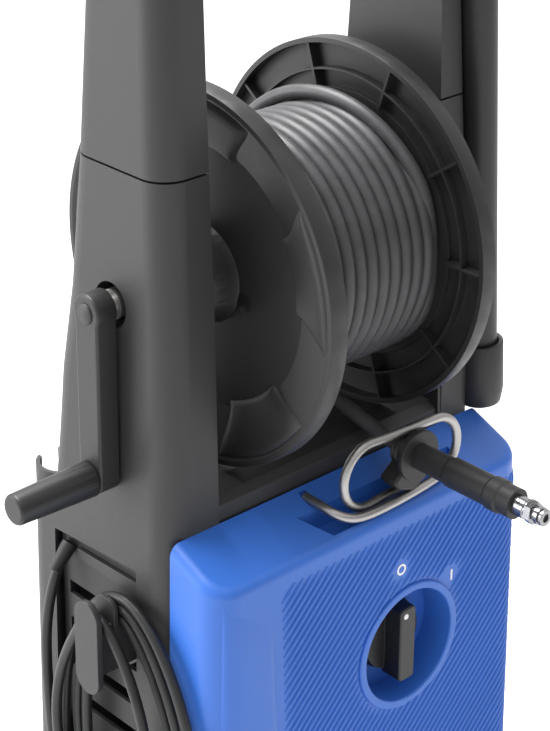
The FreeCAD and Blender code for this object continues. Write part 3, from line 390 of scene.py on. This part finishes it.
def guide_points():
    """Wire from the left hole along the front, once round the loop, and back in behind it."""
    half_long, end = 55.0 - WIRE, 26.5 - WIRE
    centre_x, centre_z = 29.0, -137.0
    left, right = centre_x - half_long + end, centre_x + half_long - end
    low, high = centre_z - end, centre_z + end
    reach = ARC_GROWTH * end
    points = [(-33.0, -64.0, -152.0), (-33.0, -80.0, -152.4), (-32.0, -89.5, -154.0), (-25.0, -96.0, -158.0),
              (-12.0, -98.0, low - 0.8), (left + 14.0, -98.0, low - 1.2), (right - 12.0, -97.0, low)]
    for step in range(-5, 6):
        angle = math.radians(18.0 * step)
        points.append((right + reach * math.cos(angle), -95.0, centre_z + reach * math.sin(angle)))
    points += [(right - 14.0, -93.5, high), (left + 14.0, -91.5, high)]
    for step in range(-5, 6):
        angle = math.radians(180.0 + 18.0 * step)
        points.append((left + reach * math.cos(angle), -90.0, centre_z + reach * math.sin(angle)))
    points += [(left + 12.0, -88.5, low), (40.0, -87.0, low - 0.4), (53.0, -84.5, -159.4), (60.0, -78.0, -158.2),
               (62.0, -64.0, -158.0)]
    return points


# ------------------------------------------------------------------ hose end
# The grip and the connector lie along -Y at this x and z, and the grip ends at this y.
END_X, END_Z, GRIP_END_Y = 36.0, -131.0, -188.0
GRIP_END, OUTWARD = (END_X, GRIP_END_Y, END_Z), (0.0, -1.0, 0.0)
CONNECTOR_PROFILE = [(-2.0, 6.9), (8.6, 6.9), (9.2, 6.3), (9.9, 6.3), (10.6, 8.1), (15.4, 8.1), (16.2, 5.2),
                     (18.2, 5.2), (18.6, 6.2), (20.4, 6.2), (20.8, 4.8), (21.8, 4.8), (22.2, 5.7), (23.6, 5.6),
                     (24.0, 5.2), (24.0, 3.1), (23.6, 2.7), (14.0, 2.6)]
HEXAGON_ROWS = (4, 5)
BORE_PROFILE = [(20.6, 2.6), (22.4, 2.6)]
connector = turned_piece("connector_body", GRIP_END, OUTWARD, CONNECTOR_PROFILE, "chrome", "machine", HEXAGON_ROWS)
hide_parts("hose_connector")
turned_piece("connector_bore", GRIP_END, OUTWARD, BORE_PROFILE, "black_plastic", "machine")

# The stopper's lower wing: its outline about the hose, and its back and front.
WING_OUTLINE = [(-9.0, -4.0), (-22.0, -14.0), (-17.0, -21.0), (-3.0, -26.0), (10.0, -20.0), (13.0, -8.0)]
WING_BACK, WING_FRONT, WING_EDGE = -86.0, -101.0, 2.0
wing_points = [at(END_X + x, y, END_Z + z) for y in (WING_BACK, WING_FRONT) for x, z in WING_OUTLINE]
wing_faces = [tuple(range(6)), tuple(range(6, 12))] + [(k, (k + 1) % 6, (k + 1) % 6 + 6, k + 6) for k in range(6)]
wing = finish_piece(mesh_piece("stopper_wing", wing_points, wing_faces), "soft_rubber", "machine")
rounding = wing.modifiers.new("edge", "BEVEL")
rounding.width = WING_EDGE * MM
rounding.segments = 3

guide = spline_curve("guide_wire", [at(*point) for point in guide_points()], WIRE * MM, 6)
finish_piece(guide, "steel", "machine")
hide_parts("guide_loop")

# ------------------------------------------------------------------ front cover: ribs and marks
COVER_FRONT, CORNER = -103.0, 20.0
WELL_X, WELL_Z = 30.0, -276.0
# The ribbed field: smooth round the well and the marks, past the corner's start, between two levels.
WELL_CLEAR, MARK_CLEAR, PAST_CORNER = 48.5, 7.5, 26.0
FIELD_BOTTOM, FIELD_TOP = -494.0, -181.0


def cover_half(z):
    """Half width of the cover at a level."""
    return 144.5 + 6.5 * (-140.0 - z) / 370.0


def cover_point(run_along, z, out=0.0):
    """Point of the cover's front at a distance along its section from the middle, raised by out."""
    flat = cover_half(z) - CORNER
    if run_along <= flat:
        return Vector((run_along, COVER_FRONT - out, z))
    angle = min((run_along - flat) / CORNER, math.pi / 2)
    reach = CORNER + out
    return Vector((flat + reach * math.sin(angle), COVER_FRONT + CORNER - reach * math.cos(angle), z))


def in_rib_field(s, z):
    """Whether the ribbed field covers this place of the front."""
    left_edge = -90.0 + 0.04 * (-180.0 - z) + 0.5 * max(0.0, z + 192.0)
    clear = math.hypot(s - WELL_X, z - WELL_Z) > WELL_CLEAR
    for mark_x, mark_z in MARK_PLACES:
        clear = clear and math.hypot(s - mark_x, z - mark_z) > MARK_CLEAR
    right_edge = cover_half(z) - CORNER + PAST_CORNER
    return clear and left_edge < s < right_edge and FIELD_BOTTOM < z < FIELD_TOP


def polar(degrees, radius):
    return (WELL_X + radius * math.cos(math.radians(degrees)), WELL_Z + radius * math.sin(math.radians(degrees)))


MARK_PLACES = [polar(98.0, 64.0), polar(42.0, 57.0)]
RIB_PITCH, RIB_HALF, RIB_HIGH, RIB_STEP = 7.35, 1.55, 1.5, 4.5
# Each rib lies where s - z is one value; these are the lowest value and the range of values.
RIB_FIRST, RIB_RANGE = 88.0, 560.0
# Ribs are searched for along s from here, in fine steps, and shorter pieces than this many steps are dropped.
SEARCH_FROM, SEARCH_STEP, SEARCH_COUNT, SHORTEST = -100.0, 0.5, 500, 12


def rib_strips():
    """Slanting ribs, each a low strip with a rounded top that follows the cover's front."""
    points, faces = [], []
    profile = [(-RIB_HALF, -0.3), (-0.8 * RIB_HALF, 0.62 * RIB_HIGH), (-0.3 * RIB_HALF, RIB_HIGH),
               (0.3 * RIB_HALF, RIB_HIGH), (0.8 * RIB_HALF, 0.62 * RIB_HIGH), (RIB_HALF, -0.3)]
    searched = [SEARCH_FROM + SEARCH_STEP * step for step in range(SEARCH_COUNT)]
    for index in range(int(RIB_RANGE / RIB_PITCH)):
        drop = RIB_FIRST + RIB_PITCH * index
        inside = [s for s in searched if in_rib_field(s, s - drop)]
        breaks = [place for place in range(1, len(inside)) if inside[place] - inside[place - 1] > 1.2 * SEARCH_STEP]
        for start, end in zip([0] + breaks, breaks + [len(inside)]):
            if end - start > SHORTEST:
                low, high = inside[start], inside[end - 1]
                count = max(2, int((high - low) / RIB_STEP))
                places = [low + (high - low) * share / count for share in range(count + 1)]
                add_strip(points, faces, [(s, s - drop) for s in places], profile)
    return points, faces


def add_strip(points, faces, run, profile):
    slant = 1.0 / math.sqrt(2.0)
    width = len(profile)
    for place, (s, z) in enumerate(run):
        first = len(points)
        shrink = 0.35 if place in (0, len(run) - 1) else 1.0
        for across, out in profile:
            lift = out * shrink if out > 0 else out
            points.append(at(*cover_point(s + across * slant, z - across * slant, lift)))
        if place:
            for side in range(width - 1):
                faces.append((first + side, first + side + 1, first + side + 1 - width, first + side - width))
        if place in (0, len(run) - 1):
            faces.append(tuple(range(first, first + width)))


rib_points, rib_faces = rib_strips()
ribs = mesh_piece("cover_ribs", rib_points, rib_faces)
finish_piece(ribs, "cover_plastic", "machine", None, 50.0)


# Soft-edged raised fields: rows and columns of a patch, flat inside and falling to the surface at its rim.
PATCH_STEPS = [0.0, 0.03, 0.07, 0.13, 0.3, 0.5, 0.7, 0.87, 0.93, 0.97, 1.0]
PATCH_LIFTS = [-0.4, 0.25, 0.75, 1.0, 1.0, 1.0, 1.0, 1.0, 0.75, 0.25, -0.4]


def patch(name, place, high):
    """Raised patch; place(u, v, out) gives the point for shares u, v and a height."""
    points, faces = [], []
    count = len(PATCH_STEPS)
    for v, lift_v in zip(PATCH_STEPS, PATCH_LIFTS):
        for u, lift_u in zip(PATCH_STEPS, PATCH_LIFTS):
            points.append(place(u, v, high * min(lift_u, lift_v)))
    for row in range(count - 1):
        for column in range(count - 1):
            first = row * count + column
            faces.append((first, first + 1, first + 1 + count, first + count))
    return mesh_piece(name, points, faces)


def facet_place(u, v, out):
    """Field at the cover's left corner, its top edge falling towards the middle."""
    top = -170.0 - 32.0 * u
    z = top + (FIELD_BOTTOM - top) * v
    right = 97.0 - 0.055 * (-206.0 - z)
    left = cover_half(z) - CORNER + 14.0
    point = cover_point(left + (right - left) * u, z, out)
    return at(-point.x, point.y, point.z)


facet = patch("cover_corner_field", facet_place, 1.6)
finish_piece(facet, "cover_plastic", "machine", None, 60.0)


def left_flange_x(radius):
    """Outer face of the left flange at a radius."""
    if radius > 122.0:
        return -73.0 - 3.0 * min(1.0, (radius - 122.0) / 4.0)
    return -65.0 - 8.0 * max(0.0, radius - 92.0) / 30.0


PAD_COUNT, PAD_FIRST, PAD_IN, PAD_OUT = 5, 164.7, 87.0, 124.5


def pad_place(centre):
    def place(u, v, out):
        radius = PAD_IN + (PAD_OUT - PAD_IN) * v
        half = 17.0 + 6.0 * smooth_step(v)
        angle = math.radians(centre + half * (2.0 * u - 1.0))
        return at(left_flange_x(radius) - out, radius * math.cos(angle), radius * math.sin(angle))
    return place


for index in range(PAD_COUNT):
    pad = patch("flange_pad_%d" % (index + 1), pad_place(PAD_FIRST + 360.0 / PAD_COUNT * index), 3.2)
    finish_piece(pad, "dark_plastic", "reel", None, 60.0)


def disc_piece(name, centre, axis, radius, high, slot, body, material=None):
    """Low round disc with a rounded rim, its axis along x or y."""
    points, faces, count = [], [], 40
    profile = [(radius, -0.3), (radius, high * 0.6), (radius * 0.93, high), (0.02, high)]
    for index in range(count):
        angle = 2 * math.pi * index / count
        for reach, out in profile:
            u, v = reach * math.cos(angle), reach * math.sin(angle)
            offset = (-out, u, v) if axis == "x" else (u, -out, v)
            points.append(at(*(a + b for a, b in zip(centre, offset))))
        follower = (index + 1) % count
        for side in range(3):
            faces.append((index * 4 + side, index * 4 + side + 1, follower * 4 + side + 1, follower * 4 + side))
    faces.append(tuple(index * 4 + 3 for index in range(count)))
    return finish_piece(mesh_piece(name, points, faces), slot, body, material, 50.0)


disc_piece("knob_dot", (27.6, -103.0, -253.0), "y", 2.1, 0.3, "black_plastic", "switch", MARK_WHITE)
disc_piece("flange_recess", (-65.0, -38.3, -9.8), "x", 6.5, 0.4, "black_plastic", "reel")
disc_piece("crank_cap", (-163.0, 0.0, 0.0), "x", 7.0, 1.2, "dark_plastic", "reel")


def ring_mark(name, x, z, outer, inner, high):
    """Flat ring, standing proud of the cover."""
    points, faces, count = [], [], 40
    for index in range(count):
        angle = 2 * math.pi * index / count
        for radius, out in ((inner, -0.4), (inner, high), (outer, high), (outer, -0.4)):
            points.append(at(x + radius * math.cos(angle), COVER_FRONT - out, z + radius * math.sin(angle)))
        follower = (index + 1) % count
        for side in range(4):
            other = (side + 1) % 4
            faces.append((index * 4 + side, index * 4 + other, follower * 4 + other, follower * 4 + side))
    return mesh_piece(name, points, faces)


def box_mark(name, low, high):
    points = [at(x, y, z) for x in (low[0], high[0]) for y in (low[1], high[1]) for z in (low[2], high[2])]
    faces = [(0, 1, 3, 2), (4, 6, 7, 5), (0, 4, 5, 1), (2, 3, 7, 6), (0, 2, 6, 4), (1, 5, 7, 3)]
    return mesh_piece(name, points, faces)


off_x, off_z = MARK_PLACES[0]
on_x, on_z = MARK_PLACES[1]
off_mark = ring_mark("mark_off", off_x, off_z, 4.2, 2.7, 0.25)
finish_piece(off_mark, "cover_plastic", "machine", MARK_WHITE)
on_low = (on_x - 0.8, COVER_FRONT - 0.25, on_z - 4.2)
on_high = (on_x + 0.8, COVER_FRONT + 0.4, on_z + 4.2)
on_mark = box_mark("mark_on", on_low, on_high)
finish_piece(on_mark, "cover_plastic", "machine", MARK_WHITE)

# ------------------------------------------------------------------ floor and light
def make_stage():
    bpy.ops.mesh.primitive_plane_add(size=30.0, location=(0, 0, -0.0005))
    floor = bpy.context.object
    floor.name = "floor"
    material, nodes, links, shader = new_material("floor_pale", (0.5, 0.5, 0.5), 0.9)
    shader.inputs["Emission Color"].default_value = (1.0, 1.0, 1.0, 1.0)
    shader.inputs["Emission Strength"].default_value = 0.5
    floor.data.materials.append(material)


def area_light(name, place, target, size, power):
    data = bpy.data.lights.new(name, "AREA")
    data.shape = "RECTANGLE"
    data.size, data.size_y = size
    data.energy = power
    lamp = bpy.data.objects.new(name, data)
    lamp.location = place
    lamp.rotation_euler = (Vector(target) - Vector(place)).to_track_quat("-Z", "Y").to_euler()
    bpy.context.scene.collection.objects.link(lamp)


make_stage()
world = bpy.data.worlds.new("studio")
bpy.context.scene.world = world
world.use_nodes = True
sky_nodes, sky_links = world.node_tree.nodes, world.node_tree.links
sky_nodes["Background"].inputs["Color"].default_value = (1.0, 1.0, 1.0, 1.0)
way = sky_nodes.new("ShaderNodeTexCoord")
toward = sky_nodes.new("ShaderNodeVectorMath")
toward.operation = "DOT_PRODUCT"
toward.inputs[1].default_value = (-0.12, 0.5, 0.85)
sky_links.new(way.outputs["Generated"], toward.inputs[0])
level = sky_nodes.new("ShaderNodeMapRange")
level.inputs["From Min"].default_value = -0.6
level.inputs["From Max"].default_value = 0.9
level.inputs["To Min"].default_value = 0.06
level.inputs["To Max"].default_value = 1.6
sky_links.new(toward.outputs["Value"], level.inputs["Value"])
sky_links.new(level.outputs["Result"], sky_nodes["Background"].inputs["Strength"])
area_light("key", (-2.1, 1.7, 1.1), (0, 0, 0.5), (1.6, 1.8), 52.0)
area_light("top", (-0.2, 0.9, 2.8), (0, 0, 0.5), (2.0, 1.4), 150.0)

bpy.context.scene.view_settings.view_transform = "Standard"

# ------------------------------------------------------------------ carried-over CAD nodes
EDGE_WIDTHS = {"crank_arm": 0.8, "crank_grip": 0.6, "reel_tray": 1.2, "cable_hook": 1.0, "vent_panels": 0.7,
               "handle_bar": 1.5, "switch_knob": 0.4, "left_flange": 0.8, "right_flange": 0.5,
               "hose_stopper": 0.6, "nozzle_holder": 0.8, "lance_holder": 0.8, "gun_body": 1.5}
for name, node in frame["nodes"].items():
    node.data.materials.clear()
    node.data.materials.append(MATERIALS[SLOT_OF[name]])
    if name in EDGE_WIDTHS:
        soften_cad(node, EDGE_WIDTHS[name] * MM)

tuple(at(*winding_points()[0]))
tuple(at(*LEAD_ROUTE[0]))
tuple(at(*HOSE_ROUTE[0]))
